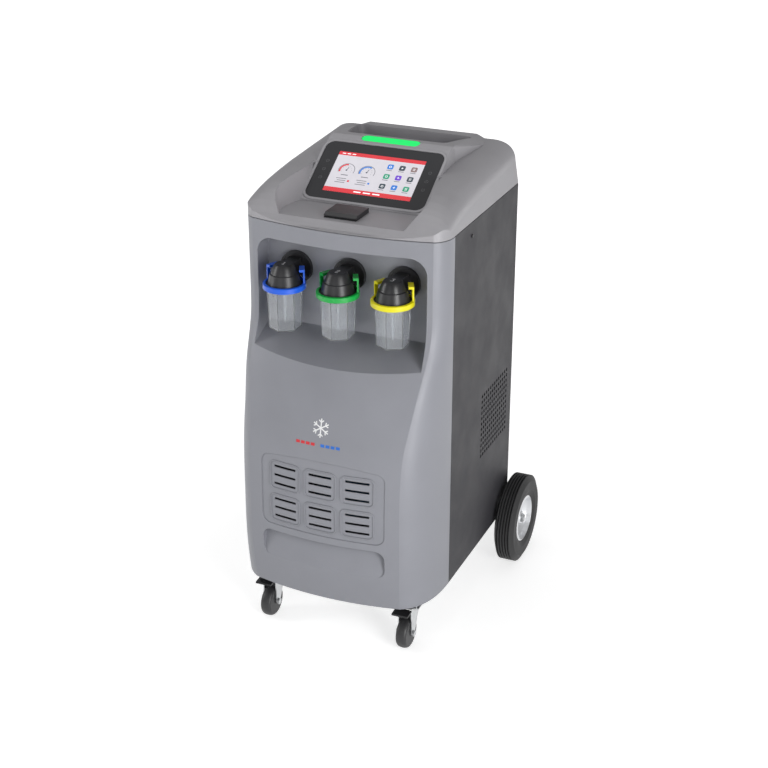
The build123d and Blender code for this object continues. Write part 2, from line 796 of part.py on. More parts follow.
def bottle_parts(number, x):
    disc = rod_y(coupler_radius, recess_back_y - seat_gap, recess_back_y - coupler_thickness, x, coupler_z)
    face_y = recess_back_y - coupler_thickness
    disc -= rod_y(coupler_radius - 5.0, face_y - 1, face_y + 2.5, x, coupler_z)
    socket = rod_y(spigot_radius + 6.0, face_y, recess_back_y + cover_wall + 12.0, x, coupler_z)
    coupler = disc + socket
    coupler -= rod_y(spigot_radius + running_gap, face_y - 1, face_y + spigot_length + 1, x, coupler_z)
    save(f"bottle_coupler_{number}", coupler)

    vessel_flange_z = collar_z + collar_lip
    cap_base_z = vessel_flange_z + flange_height + 2 * seat_gap
    profile = [
        Line((0, cap_base_z), (flange_radius, cap_base_z)),
        Line((flange_radius, cap_base_z), (flange_radius, cap_base_z + 5.0)),
        Line((flange_radius, cap_base_z + 5.0), (cap_radius, cap_base_z + 6.0)),
        Line((cap_radius, cap_base_z + 6.0), (cap_waist_radius, 924.0)),
        Line((cap_waist_radius, 924.0), (cap_waist_radius - 3.0, 925.0)),
        Bezier((cap_waist_radius - 3.0, 925.0), (cap_crown_radius + 5.0, 944.0), (cap_crown_radius, cap_top_z)),
        Line((cap_crown_radius, cap_top_z), (0, cap_top_z)),
        Line((0, cap_top_z), (0, cap_base_z)),
    ]
    cap = Pos(x, bottle_y, 0) * revolve(Plane.XZ * make_face(profile), Axis.Z)
    cap += box_between((x - neck_width / 2, bottle_y, neck_low_z), (x + neck_width / 2, face_y - 2.0, neck_high_z))
    cap += rod_y(spigot_radius, bottle_y, face_y + spigot_length, x, coupler_z)
    cap -= rod_z(tube_radius + seat_gap, cap_base_z - 1.0, cap_base_z + tube_socket, x, bottle_y)
    save(f"bottle_cap_{number}", cap)

    ring = rod_z(collar_radius, collar_z, collar_z + collar_height, x, bottle_y)
    ring = chamfer(ring.edges(), 1.2)
    ring -= rod_z(flange_radius + seat_gap, collar_z + collar_lip, collar_z + collar_height + 1, x, bottle_y)
    ring -= rod_z(vessel_radius + seat_gap, collar_z - 1, collar_z + collar_lip + 1, x, bottle_y)
    for side in (-1, 1):
        place = Pos(x, bottle_y, 0) * Rot(0, 0, side * clip_angle)
        ring += place * clip_form(side)
    save(f"bottle_collar_{number}", ring)

    def hexagon(radius, z):
        return Plane.XY.offset(z) * Pos(x, bottle_y) * RegularPolygon(radius, bottle_angles, rotation=30.0)

    foot = vessel_foot_radius
    top = vessel_flange_z + seat_gap
    vessel = loft([hexagon(foot - 1.0, vessel_bottom_z), hexagon(foot + 0.5, vessel_step_z)])
    vessel += loft([hexagon(vessel_radius - 1.0, vessel_step_z), hexagon(vessel_radius, top)])
    vessel += rod_z(flange_radius, top, top + flange_height, x, bottle_y)
    inner_top = top + flange_height + 1.0
    vessel -= loft([hexagon(foot - vessel_wall - 1.0, vessel_bottom_z + vessel_wall),
                    hexagon(foot - vessel_wall, inner_top)])
    save(f"bottle_vessel_{number}", vessel)
    tube = rod_z(tube_radius, vessel_bottom_z + 12.0, cap_base_z + tube_socket - seat_gap, x, bottle_y)
    save(f"dip_tube_{number}", tube - rod_z(tube_radius - 1.0, 700, 1000, x, bottle_y))


def rear_wheel(side):
    """Grooved rubber tyre on a dished rim; turned about the axle line."""
    inner = wheel_outer_x - tyre_width
    outer = wheel_outer_x
    r = tyre_radius
    groove_pitch = (tyre_width - 16.0) / tyre_grooves
    tread = []
    for index in range(tyre_grooves):
        centre = inner + 8.0 + groove_pitch * (index + 0.5)
        tread += [(centre - groove_width / 2, r), (centre, r - groove_depth), (centre + groove_width / 2, r)]
    outline = [(inner + 5.0, rim_radius + seat_gap), (inner, rim_radius + 16.0), (inner, r - 16.0), (inner + 8.0, r)]
    outline += tread
    outline += [(outer - 8.0, r), (outer, r - 16.0), (outer, rim_radius + 16.0), (outer - 5.0, rim_radius + seat_gap)]
    face = Plane.XZ * make_face(Polyline(*outline, close=True))
    tyre = revolve(face, Axis.X)
    hub_outer = outer - 12.0
    hub_inner = inner + 2.0
    rim_outline = [
        (hub_inner, axle_radius + running_gap),
        (hub_inner, hub_radius),
        (inner + 22.0, hub_radius + 2.0),
        (inner + 22.0, rim_radius - 12.0),
        (inner + 5.0, rim_radius - 4.0),
        (inner + 5.0, rim_radius),
        (outer - 5.0, rim_radius),
        (outer - 3.0, rim_radius - 5.0),
        (outer - 16.0, rim_radius - 9.0),
        (outer - 26.0, rim_radius - 16.0),
        (outer - 26.0, hub_radius + 8.0),
        (hub_outer, hub_radius - 2.0),
        (hub_outer, axle_radius + running_gap),
    ]
    rim = revolve(Plane.XZ * make_face(Polyline(*rim_outline, close=True)), Axis.X)
    place = Pos(0, axle_y, tyre_radius)
    if side < 0:
        place = place * Rot(0, 0, 180)
    return place * tyre, place * rim


def rear_axle():
    inner = wheel_outer_x - tyre_width
    axle = rod_x(axle_radius, -wheel_outer_x + 4.0, wheel_outer_x - 4.0, axle_y, tyre_radius)
    for side in (-1, 1):
        axle += rod_x(axle_radius + 4.0, side * (inner - 20.0), side * (inner + 2.0 - seat_gap), axle_y, tyre_radius)
    return axle


def axle_nuts():
    nuts = []
    for side in (-1, 1):
        start = side * (wheel_outer_x - 12.0 + seat_gap)
        nut = Pos(start, axle_y, tyre_radius) * Rot(0, side * 90, 0) * extrude(
            RegularPolygon(axle_radius + 5.0, 6), amount=6.5)
        nuts.append(nut - rod_x(axle_radius + seat_gap, -400, 400, axle_y, tyre_radius))
    return Compound(children=nuts)


def castor_parts(name, x):
    swivel_y = castor_wheel_y + castor_trail
    plate_low = castor_plate_z - castor_plate_thickness
    plate = Pos(x, swivel_y, castor_plate_z - castor_plate_thickness / 2) * Box(
        castor_plate_width, castor_plate_length, castor_plate_thickness)
    bolt_places = [
        Pos(x + dx * castor_bolt_x / 2, swivel_y + dy * castor_bolt_y / 2, 0) for dx in (-1, 1) for dy in (-1, 1)
    ]
    for place in bolt_places:
        plate -= place * rod_z(castor_bolt_radius + seat_gap, 0, 200, 0, 0)
    crown_high = plate_low - race_height - seat_gap
    crown_low = crown_high - crown_thickness
    plate += rod_z(race_radius, plate_low - race_height, plate_low, x, swivel_y)
    plate += rod_z(kingpin_radius, crown_low - 1.0, plate_low, x, swivel_y)
    plate += rod_z(kingpin_radius + 3.0, crown_low - seat_gap - 2.5, crown_low - seat_gap, x, swivel_y)
    save(f"castor_plate_{name}", plate)

    leg_inner = castor_wheel_width / 2 + 2.0
    leg_outer = leg_inner + leg_thickness
    axle_z = castor_wheel_radius
    crown = rod_z(race_radius + 2.0, crown_low, crown_high, x, swivel_y)
    crown += box_between((x - leg_outer, castor_wheel_y - 8.0, crown_low), (x + leg_outer, swivel_y, crown_high))
    leg_face = Polyline(
        (castor_wheel_y - 9.0, axle_z),
        (castor_wheel_y - 8.0, crown_high),
        (swivel_y + 12.0, crown_high),
        (swivel_y + 12.0, crown_low - 6.0),
        (castor_wheel_y + 10.0, axle_z - 4.0),
        (castor_wheel_y, axle_z - 10.0),
        close=True,
    )
    fork = crown
    for side in (-1, 1):
        leg = extrude(Plane.YZ * make_face(leg_face), amount=leg_thickness)
        offset = leg_inner if side > 0 else -leg_outer
        fork += Pos(x + offset, 0, 0) * leg
    fork -= rod_z(kingpin_radius + running_gap, 0, 200, x, swivel_y)
    fork -= rod_x(castor_axle_radius + seat_gap, x - 30, x + 30, castor_wheel_y, axle_z)
    fork += rod_x(brake_pin_radius, x - leg_outer, x + leg_outer, brake_y, brake_z)
    save(f"castor_fork_{name}", fork)

    half = castor_wheel_width / 2
    shoulder = castor_wheel_radius - 7.0
    profile = [
        Line((-half, castor_axle_radius + running_gap), (-half, shoulder)),
        Bezier((-half, shoulder), (-half + 1.5, castor_wheel_radius), (0, castor_wheel_radius)),
        Bezier((0, castor_wheel_radius), (half - 1.5, castor_wheel_radius), (half, shoulder)),
        Line((half, shoulder), (half, castor_axle_radius + running_gap)),
        Line((half, castor_axle_radius + running_gap), (-half, castor_axle_radius + running_gap)),
    ]
    wheel = Pos(x, castor_wheel_y, axle_z) * revolve(Plane.XZ * make_face(profile), Axis.X)
    save(f"castor_wheel_{name}", wheel)

    axle = rod_x(castor_axle_radius, x - leg_outer - 1.0, x + leg_outer + 1.0, castor_wheel_y, axle_z)
    for side in (-1, 1):
        start = x + side * (leg_outer + seat_gap)
        axle += Pos(start, castor_wheel_y, axle_z) * Rot(0, side * 90, 0) * extrude(
            RegularPolygon(castor_axle_radius + 3.5, 6), amount=4.5)
    save(f"castor_axle_{name}", axle)

    arm_half = leg_inner - 2.5
    pad_z = brake_z + brake_pad_rise
    pad_y = brake_y - brake_pad_length
    side_face = Polyline(
        (brake_y + 4.0, brake_z),
        (brake_y, brake_z + 5.0),
        (brake_y - 16.0, pad_z + 5.0),
        (pad_y + 2.0, pad_z + 3.0),
        (pad_y, pad_z - 1.0),
        (brake_y - 18.0, pad_z - 3.0),
        (brake_y - 5.0, brake_z - 5.0),
        (brake_y - 4.5, 2 * castor_wheel_radius + 1.0),
        (brake_y, 2 * castor_wheel_radius + 1.0),
        (brake_y + 3.0, brake_z - 5.0),
        close=True,
    )
    arm = extrude(Plane.YZ * make_face(side_face), amount=arm_half, both=True)
    pad_face = Polyline(
        (brake_y - 18.0, pad_z + 5.0),
        (pad_y + 2.0, pad_z + 3.0),
        (pad_y, pad_z - 1.0),
        (brake_y - 18.0, pad_z + 1.0),
        close=True,
    )
    pad = extrude(Plane.YZ * make_face(pad_face), amount=brake_pad_width / 2, both=True)
    brake = Pos(x, 0, 0) * (arm + pad)
    brake += rod_x(5.0, x - arm_half, x + arm_half, brake_y, brake_z)
    brake -= rod_x(brake_pin_radius + running_gap, x - 30, x + 30, brake_y, brake_z)
    save(f"castor_brake_{name}", brake)
    return bolt_places


def castor_bolts(places):
    bolts = []
    head_high = castor_plate_z - castor_plate_thickness - seat_gap
    for place in places:
        bolt = extrude(Plane.XY.offset(head_high) * RegularPolygon(castor_bolt_hex, 6), amount=-castor_bolt_head)
        bolt += rod_z(castor_bolt_radius, head_high, castor_plate_z + rail_wall + 6.0, 0, 0)
        bolts.append(place * bolt)
    return Compound(children=bolts)


def chassis_frame(bolt_places):
    frame = None
    for side in (-1, 1):
        x0 = side * castor_x - rail_width / 2
        rail = box_between((x0, rail_front_y, castor_plate_z), (x0 + rail_width, rail_rear_y, pan_z))
        rail -= box_between((x0 + rail_wall, rail_front_y - 1, castor_plate_z + rail_wall),
                            (x0 + rail_width - rail_wall, rail_rear_y + 1, pan_z - rail_wall))
        outer_x = side * (castor_x + rail_width / 2)
        bracket = box_between((min(outer_x, outer_x - side * 4.0), axle_y - 22.0, tyre_radius - 16.0),
                              (max(outer_x, outer_x - side * 4.0), axle_y + 10.0, castor_plate_z + 4.0))
        rail += bracket
        frame = rail if frame is None else frame + rail
    for y in (rail_front_y, rail_rear_y - rail_width):
        cross = box_between((-castor_x + rail_width / 2 - 1, y, castor_plate_z),
                            (castor_x - rail_width / 2 + 1, y + rail_width, pan_z))
        cross -= box_between((-castor_x, y + rail_wall, castor_plate_z + rail_wall),
                             (castor_x, y + rail_width - rail_wall, pan_z - rail_wall))
        frame += cross
    cuts = [rod_x(axle_radius + seat_gap, -300, 300, axle_y, tyre_radius)]
    for place in bolt_places:
        cuts.append(place * rod_z(castor_bolt_radius + seat_gap, castor_plate_z - 1,
                                  castor_plate_z + rail_wall + 1, 0, 0))
    return frame - cuts


def base_pan():
    inset = cover_wall + seat_gap
    low_z = pan_z + seat_gap
    front = plan_face(low_z, front_stations[0][1] + 4.0, front_stations[0][2], panel_front_y + 10.0, inset)
    pan = extrude(front, amount=pan_thickness)
    half = body_half - sheet - seat_gap
    rear = panel_rear_y - sheet - seat_gap
    pan += box_between((-half, panel_front_y + seam + sheet, low_z), (half, rear, low_z + pan_thickness))
    for side in (-1, 1):
        x0 = side * half
        x1 = side * (half - pan_thickness)
        pan += box_between((min(x0, x1), panel_front_y + seam + sheet, low_z),
                           (max(x0, x1), rear_strip_y - 4, low_z + 24))
    pan += box_between((-half, rear - pan_thickness, low_z), (half, rear, low_z + 24))
    return pan


def upright_frame():
    """Four angle posts tied together at the top."""
    low_z = pan_z + pan_thickness + 2 * seat_gap
    high_z = seam_z - skirt_depth - seat_gap
    out_x = body_half - sheet - pan_thickness - 3 * seat_gap
    front_y = panel_front_y + seam + sheet + seat_gap
    rear_y = panel_rear_y - sheet - pan_thickness - 3 * seat_gap

    def angle(side, y, direction):
        x = side * out_x
        leg_x = side * (out_x - post_thickness)
        far_x = side * (out_x - post_leg)
        y1 = y + direction * post_leg
        y2 = y + direction * post_thickness
        flat = box_between((min(x, leg_x), min(y, y1), low_z), (max(x, leg_x), max(y, y1), high_z))
        return flat + box_between((min(x, far_x), min(y, y2), low_z), (max(x, far_x), max(y, y2), high_z))

    frame = angle(-1, front_y, 1) + angle(1, front_y, 1) + angle(-1, rear_y, -1) + angle(1, rear_y, -1)
    tie_low = high_z - 24.0
    for side in (-1, 1):
        x0 = side * out_x
        x1 = side * (out_x - post_thickness)
        frame += box_between((min(x0, x1), front_y, tie_low), (max(x0, x1), rear_y, high_z))
    frame += box_between((-out_x, rear_y - post_thickness, tie_low), (out_x, rear_y, high_z))
    holes = [rod_x(screw_radius + seat_gap, -body_half, body_half, screw_y, screw_z)]
    for side in (-1, 1):
        for z in rear_screw_z:
            holes.append(rod_y(screw_radius + seat_gap, rear_y - 20, panel_rear_y, side * rear_screw_x, z))
    return frame - holes


def refrigerant_group():
    low = pan_z + pan_thickness + 2 * seat_gap
    deck = rod_z(cylinder_radius + 5.0, low + 22.0, low + 30.0, cylinder_x, cylinder_y)
    base = rod_z(cylinder_radius - 10.0, low, low + 5.0, cylinder_x, cylinder_y)
    cell = Pos(cylinder_x, cylinder_y, low + 13.5) * Box(120.0, 30.0, 18.0)
    save("scale_platform", deck + base + cell)
    foot = low + 30.0 + seat_gap
    r = cylinder_radius
    top = foot + cylinder_height
    profile = [
        Line((0, foot + 12.0), (r - 40.0, foot + 12.0)),
        Bezier((r - 40.0, foot + 12.0), (r, foot + 12.0), (r, foot + 45.0)),
        Line((r, foot + 45.0), (r, top - 60.0)),
        Bezier((r, top - 60.0), (r, top - 20.0), (r - 60.0, top - 18.0)),
        Line((r - 60.0, top - 18.0), (16.0, top - 16.0)),
        Line((16.0, top - 16.0), (16.0, top)),
        Line((16.0, top), (0, top)),
        Line((0, top), (0, foot + 12.0)),
    ]
    tank = Pos(cylinder_x, cylinder_y, 0) * revolve(Plane.XZ * make_face(profile), Axis.Z)
    void = rod_z(r - 3.0, foot + 48.0, top - 62.0, cylinder_x, cylinder_y)
    ring = rod_z(r - 22.0, foot, foot + 16.0, cylinder_x, cylinder_y)
    ring -= rod_z(r - 25.0, foot - 1, foot + 12.0, cylinder_x, cylinder_y)
    save("refrigerant_cylinder", tank + ring - void)


def machinery():
    low = pan_z + pan_thickness + 2 * seat_gap
    dome = rod_z(compressor_radius, low + 14.0, low + compressor_height, compressor_x, compressor_y)
    dome = chamfer(dome.edges(), 22.0)
    feet = Pos(compressor_x, compressor_y, low + 10.0) * Box(150.0, 110.0, 4.0)
    pads = [
        rod_z(10.0, low, low + 8.0, compressor_x + dx, compressor_y + dy)
        for dx in (-62, 62)
        for dy in (-42, 42)
    ]
    stub = rod_z(compressor_radius - 26.0, low + 9.0, low + 20.0, compressor_x, compressor_y)
    save("compressor", dome + feet + stub + pads)
    pump = box_between((pump_x - 55, pump_y - 45, low), (pump_x + 55, pump_y + 45, low + 12.0))
    pump += Pos(pump_x, pump_y + 18, low + 61.0) * Box(100.0, 50.0, 100.0)
    pump += rod_y(44.0, pump_y - 80, pump_y - 6, pump_x, low + 60.0)
    save("vacuum_pump", pump)
    block_y = panel_rear_y - sheet - seat_gap
    block = box_between((-port_x - 30, block_y - 60, port_z - 90), (port_x + 30, block_y - 32, port_z + 30))
    for index in range(5):
        coil_x = -port_x + index * port_x / 2
        block += rod_z(14.0, port_z + 29.0, port_z + 70.0, coil_x, block_y - 46)
    tie = box_between((-port_x - 30, block_y - 33, port_z - 90), (-port_x - 24, block_y, port_z - 60))
    block += tie + Pos(2 * port_x + 54, 0, 0) * tie
    save("solenoid_manifold", block)

    core_x = body_half - sheet - post_leg - 6.0
    shroud = box_between((core_x - 30, fan_y - fan_frame / 2, fan_z - fan_frame / 2),
                         (core_x, fan_y + fan_frame / 2, fan_z + fan_frame / 2))
    shroud -= rod_x(fan_radius + 4.0, core_x - 26, core_x + 1, fan_y, fan_z)
    shroud -= rod_x(fan_radius - 12.0, core_x - 40, core_x - 20, fan_y, fan_z)
    motor = rod_x(24.0, core_x - 30, core_x - 21, fan_y, fan_z)
    shroud += motor + rod_x(fan_shaft, core_x - 22, core_x - 4, fan_y, fan_z)
    for angle_deg in (45, 135):
        strut = Pos(core_x - 28, fan_y, fan_z) * Rot(angle_deg, 0, 0) * Box(4.0, 12.0, 2 * fan_radius)
        shroud += strut
    foot_z = low
    for dy in (-1, 1):
        y0 = fan_y + dy * (fan_frame / 2 - 10)
        shroud += box_between((core_x - 30, y0 - 10, foot_z), (core_x - 24, y0 + 10, fan_z - fan_frame / 2 + 1))
    save("fan_shroud", shroud)
    hub = rod_x(22.0, core_x - 17, core_x - 5, fan_y, fan_z)
    for index in range(fan_blades):
        blade = Rot(index * 360 / fan_blades, 0, 0) * Pos(0, 0, fan_radius / 2 + 8) * Rot(0, 0, 28) * Box(
            2.0, 34.0, fan_radius - 20)
        hub += Pos(core_x - 11, fan_y, fan_z) * blade
    save("fan_rotor", hub - rod_x(fan_shaft + running_gap, core_x - 40, core_x + 10, fan_y, fan_z))
    coil = box_between((core_x - 62, fan_y - fan_frame / 2, fan_z - fan_frame / 2),
                       (core_x - 30 - seat_gap, fan_y + fan_frame / 2, fan_z + fan_frame / 2))
    save("condenser_coil", coil)


def build_all():
    cover = front_cover()
    for index in (-1, 0, 1):
        cover -= rod_y(spigot_radius + 6.0 + seat_gap, recess_back_y - 1, recess_back_y + cover_wall + 1,
                       index * bottle_pitch, coupler_z)
    save("front_cover", cover)
    save("top_console", top_console())
    save("light_bar", light_bar())
    save("tablet_housing", tablet_housing())
    save("tablet_screen", tablet_screen())
    printer_parts()
    for name, side in (("left", -1), ("right", 1)):
        save(f"side_panel_{name}", sheet_side(side))
        tyre, rim = rear_wheel(side)
        save(f"tyre_{name}", tyre)
        save(f"rim_{name}", rim)
    save("rear_panel", rear_panel())
    save("panel_screws", panel_screws())
    save("service_port_low", service_port(-1, 6.5))
    save("service_port_high", service_port(1, 8.0))
    save("power_inlet", power_inlet())
    save("rocker_switch", rocker_switch())
    for number in (1, 2, 3):
        bottle_parts(number, (number - 2) * bottle_pitch)
    save("rear_axle", rear_axle())
    save("axle_nuts", axle_nuts())
    bolt_places = castor_parts("left", -castor_x) + castor_parts("right", castor_x)
    save("castor_bolts", castor_bolts(bolt_places))
    save("chassis_frame", chassis_frame(bolt_places))
    save("base_pan", base_pan())
    save("upright_frame", upright_frame())
    refrigerant_group()
    machinery()


build_all()
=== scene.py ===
import json
import math

import bpy
from mathutils import Euler, Matrix, Vector
from mathutils.bvhtree import BVHTree


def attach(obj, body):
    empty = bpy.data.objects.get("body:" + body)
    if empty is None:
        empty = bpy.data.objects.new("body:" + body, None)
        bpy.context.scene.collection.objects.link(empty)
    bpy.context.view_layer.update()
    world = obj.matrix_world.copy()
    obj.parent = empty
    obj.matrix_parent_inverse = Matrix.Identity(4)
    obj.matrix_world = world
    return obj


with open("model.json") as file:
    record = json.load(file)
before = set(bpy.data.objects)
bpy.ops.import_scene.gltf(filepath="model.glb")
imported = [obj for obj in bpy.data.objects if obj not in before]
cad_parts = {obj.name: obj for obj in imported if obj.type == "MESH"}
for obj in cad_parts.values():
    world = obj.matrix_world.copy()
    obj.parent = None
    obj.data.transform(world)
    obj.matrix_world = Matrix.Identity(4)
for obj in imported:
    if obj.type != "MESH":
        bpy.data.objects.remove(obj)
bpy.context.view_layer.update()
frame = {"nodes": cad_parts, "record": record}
NODES = frame["nodes"]
MM = 0.001


# materials

def new_material(name):
    mat = bpy.data.materials.new(name)
    mat.use_nodes = True
    tree = mat.node_tree
    return mat, tree, tree.nodes["Principled BSDF"]


def noise(tree, scale, detail=3.0, stretch=(1, 1, 1), roughness=0.5):
    coord = tree.nodes.new("ShaderNodeTexCoord")
    mapping = tree.nodes.new("ShaderNodeMapping")
    mapping.inputs["Scale"].default_value = stretch
    tex = tree.nodes.new("ShaderNodeTexNoise")
    tex.inputs["Scale"].default_value = scale
    tex.inputs["Detail"].default_value = detail
    tex.inputs["Roughness"].default_value = roughness
    tree.links.new(coord.outputs["Object"], mapping.inputs["Vector"])
    tree.links.new(mapping.outputs["Vector"], tex.inputs["Vector"])
    return tex


def spread(tree, source, low, high, from_low=0.3, from_high=0.7):
    """Map a texture's output to a range of plain numbers."""
    ranged = tree.nodes.new("ShaderNodeMapRange")
    ranged.inputs["From Min"].default_value = from_low
    ranged.inputs["From Max"].default_value = from_high
    ranged.inputs["To Min"].default_value = low
    ranged.inputs["To Max"].default_value = high
    tree.links.new(source.outputs[0], ranged.inputs["Value"])
    return ranged


def tint(tree, bsdf, source, colour, amount):
    """Vary a colour a little, lighter and darker, with a texture."""
    ramp = tree.nodes.new("ShaderNodeMix")
    ramp.data_type = "RGBA"
    ramp.inputs["A"].default_value = (*[c * (1 - amount) for c in colour], 1)
    ramp.inputs["B"].default_value = (*[min(1, c * (1 + amount)) for c in colour], 1)
    tree.links.new(source.outputs[0], ramp.inputs["Factor"])
    tree.links.new(ramp.outputs["Result"], bsdf.inputs["Base Color"])


def surface(name, colour, rough=0.45, metal=0.0, vary=0.04, grain=900.0, bump=0.04, edge=0.0, coat=0.0,
            patch=14.0, stretch=(1, 1, 1), rough_vary=0.06, specular=0.5):
    """Moulded, painted or metal surface with fine grain, slow patches and softened edges."""
    mat, tree, bsdf = new_material(name)
    slow = noise(tree, patch, 4.0)
    tint(tree, bsdf, spread(tree, slow, 0.0, 1.0), colour, vary)
    tree.links.new(spread(tree, slow, rough - rough_vary, rough + rough_vary).outputs[0], bsdf.inputs["Roughness"])
    bsdf.inputs["Metallic"].default_value = metal
    bsdf.inputs["Specular IOR Level"].default_value = specular
    if coat:
        bsdf.inputs["Coat Weight"].default_value = coat
        bsdf.inputs["Coat Roughness"].default_value = 0.12
    fine = noise(tree, grain, 2.0, stretch)
    bumped = tree.nodes.new("ShaderNodeBump")
    bumped.inputs["Strength"].default_value = bump
    bumped.inputs["Distance"].default_value = 0.001
    tree.links.new(fine.outputs[0], bumped.inputs["Height"])
    if edge:
        soft = tree.nodes.new("ShaderNodeBevel")
        soft.samples = 4
        soft.inputs["Radius"].default_value = edge
        tree.links.new(soft.outputs["Normal"], bumped.inputs["Normal"])
    tree.links.new(bumped.outputs["Normal"], bsdf.inputs["Normal"])
    return mat


def glow(name, colour, strength):
    mat, tree, bsdf = new_material(name)
    bsdf.inputs["Roughness"].default_value = 0.25
    bsdf.inputs["Emission Strength"].default_value = strength
    slow = noise(tree, 60.0)
    tint(tree, bsdf, spread(tree, slow, 0.0, 1.0), [0.6 * c for c in colour], 0.05)
    bsdf.inputs["Emission Color"].default_value = (*colour, 1)
    return mat


def clear_plastic(name, colour, rough):
    mat, tree, bsdf = new_material(name)
    slow = noise(tree, 50.0)
    tint(tree, bsdf, spread(tree, slow, 0.0, 1.0), colour, 0.03)
    tree.links.new(spread(tree, slow, rough * 0.7, rough * 1.3).outputs[0], bsdf.inputs["Roughness"])
    bsdf.inputs["Transmission Weight"].default_value = 0.93
    bsdf.inputs["IOR"].default_value = 1.3
    return mat


SILVER = (0.345, 0.338, 0.357)
GREY = (0.265, 0.270, 0.300)
M = {
    "console": surface("console_plastic", SILVER, 0.46, 0.1, 0.03, 1400, 0.03, 0.0025, 0.05),
    "cover": surface("cover_plastic", GREY, 0.48, 0.1, 0.03, 1400, 0.03, 0.0025, 0.05),
    "panel": surface("panel_paint", (0.034, 0.033, 0.038), 0.55, 0.0, 0.06, 1800, 0.05, 0.0008, specular=0.3),
    "frame": surface("frame_paint", (0.045, 0.045, 0.05), 0.55, 0.0, 0.08, 700, 0.05, 0.0006),
    "zinc": surface("zinc", (0.62, 0.63, 0.64), 0.34, 1.0, 0.10, 300, 0.05, 0.0005, 0.0, 90.0),
    "steel": surface("steel", (0.55, 0.56, 0.57), 0.28, 1.0, 0.06, 500, 0.04, 0.0004, 0.0, 60.0),
    "black": surface("black_plastic", (0.018, 0.018, 0.02), 0.36, 0.0, 0.10, 1500, 0.05, 0.0009),
    "bezel": surface("bezel_glass", (0.030, 0.030, 0.034), 0.38, 0.0, 0.04, 2000, 0.01, specular=0.25),
    "light": glow("light_lens", (0.0, 0.90, 0.16), 0.62),
    "paper": surface("paper", (0.85, 0.85, 0.82), 0.8, 0.0, 0.03, 900, 0.03),
    "vessel": clear_plastic("clear_vessel", (0.93, 0.95, 0.97), 0.12),
    "blue": surface("blue_plastic", (0.010, 0.115, 0.75), 0.3, 0.0, 0.05, 1500, 0.03, 0.0006),
    "green": surface("green_plastic", (0.004, 0.40, 0.06), 0.3, 0.0, 0.05, 1500, 0.03, 0.0006),
    "yellow": surface("yellow_plastic", (0.85, 0.77, 0.008), 0.3, 0.0, 0.04, 1500, 0.03, 0.0006),
    "tyre": surface("tyre_rubber", (0.018, 0.018, 0.019), 0.62, 0.0, 0.18, 500, 0.12, 0.0012),
    "rim": surface("rim_paint", (0.72, 0.73, 0.75), 0.3, 0.6, 0.05, 700, 0.03, 0.001, 0.2),
    "castor_tread": surface("castor_tread", (0.03, 0.03, 0.032), 0.45, 0.0, 0.12, 800, 0.06, 0.0008),
    "cylinder": surface("cylinder_paint", (0.1, 0.32, 0.62), 0.3, 0.0, 0.05, 700, 0.03, 0.001),
    "machine": surface("machine_black", (0.035, 0.035, 0.038), 0.5, 0.0, 0.10, 500, 0.08, 0.001),
    "screw": surface("blackened_screw", (0.03, 0.03, 0.032), 0.4, 0.6, 0.08, 700, 0.04, 0.0003),
    "alloy": surface("alloy", (0.70, 0.71, 0.72), 0.4, 1.0, 0.05, 500, 0.05, 0.0006),
}
SLOTS = {
    "console_plastic": "console", "cover_plastic": "cover", "panel_paint": "panel", "frame_paint": "frame",
    "zinc": "zinc", "steel": "steel", "black_plastic": "black", "bezel_glass": "bezel", "screen_glass": "bezel",
    "light_lens": "light", "paper": "paper", "clear_vessel": "vessel", "blue_plastic": "blue",
    "green_plastic": "green", "yellow_plastic": "yellow", "tyre_rubber": "tyre", "rim_paint": "rim",
    "castor_tread": "castor_tread", "cylinder_paint": "cylinder", "machine_black": "machine", "alloy": "alloy",
}
for part in frame["record"]["subparts"]:
    obj = NODES[part["node"]]
    obj.data.materials.clear()
    look = "screw" if part["node"] == "panel_screws" else SLOTS[part["material_slot"]]
    obj.data.materials.append(M[look])


# small mesh helpers

def mesh_object(name, verts, faces, material, body="station"):
    mesh = bpy.data.meshes.new(name)
    mesh.from_pydata([tuple(v) for v in verts], [], faces)
    mesh.update()
    obj = bpy.data.objects.new(name, mesh)
    bpy.context.collection.objects.link(obj)
    mesh.materials.append(material)
    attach(obj, body)
    return obj


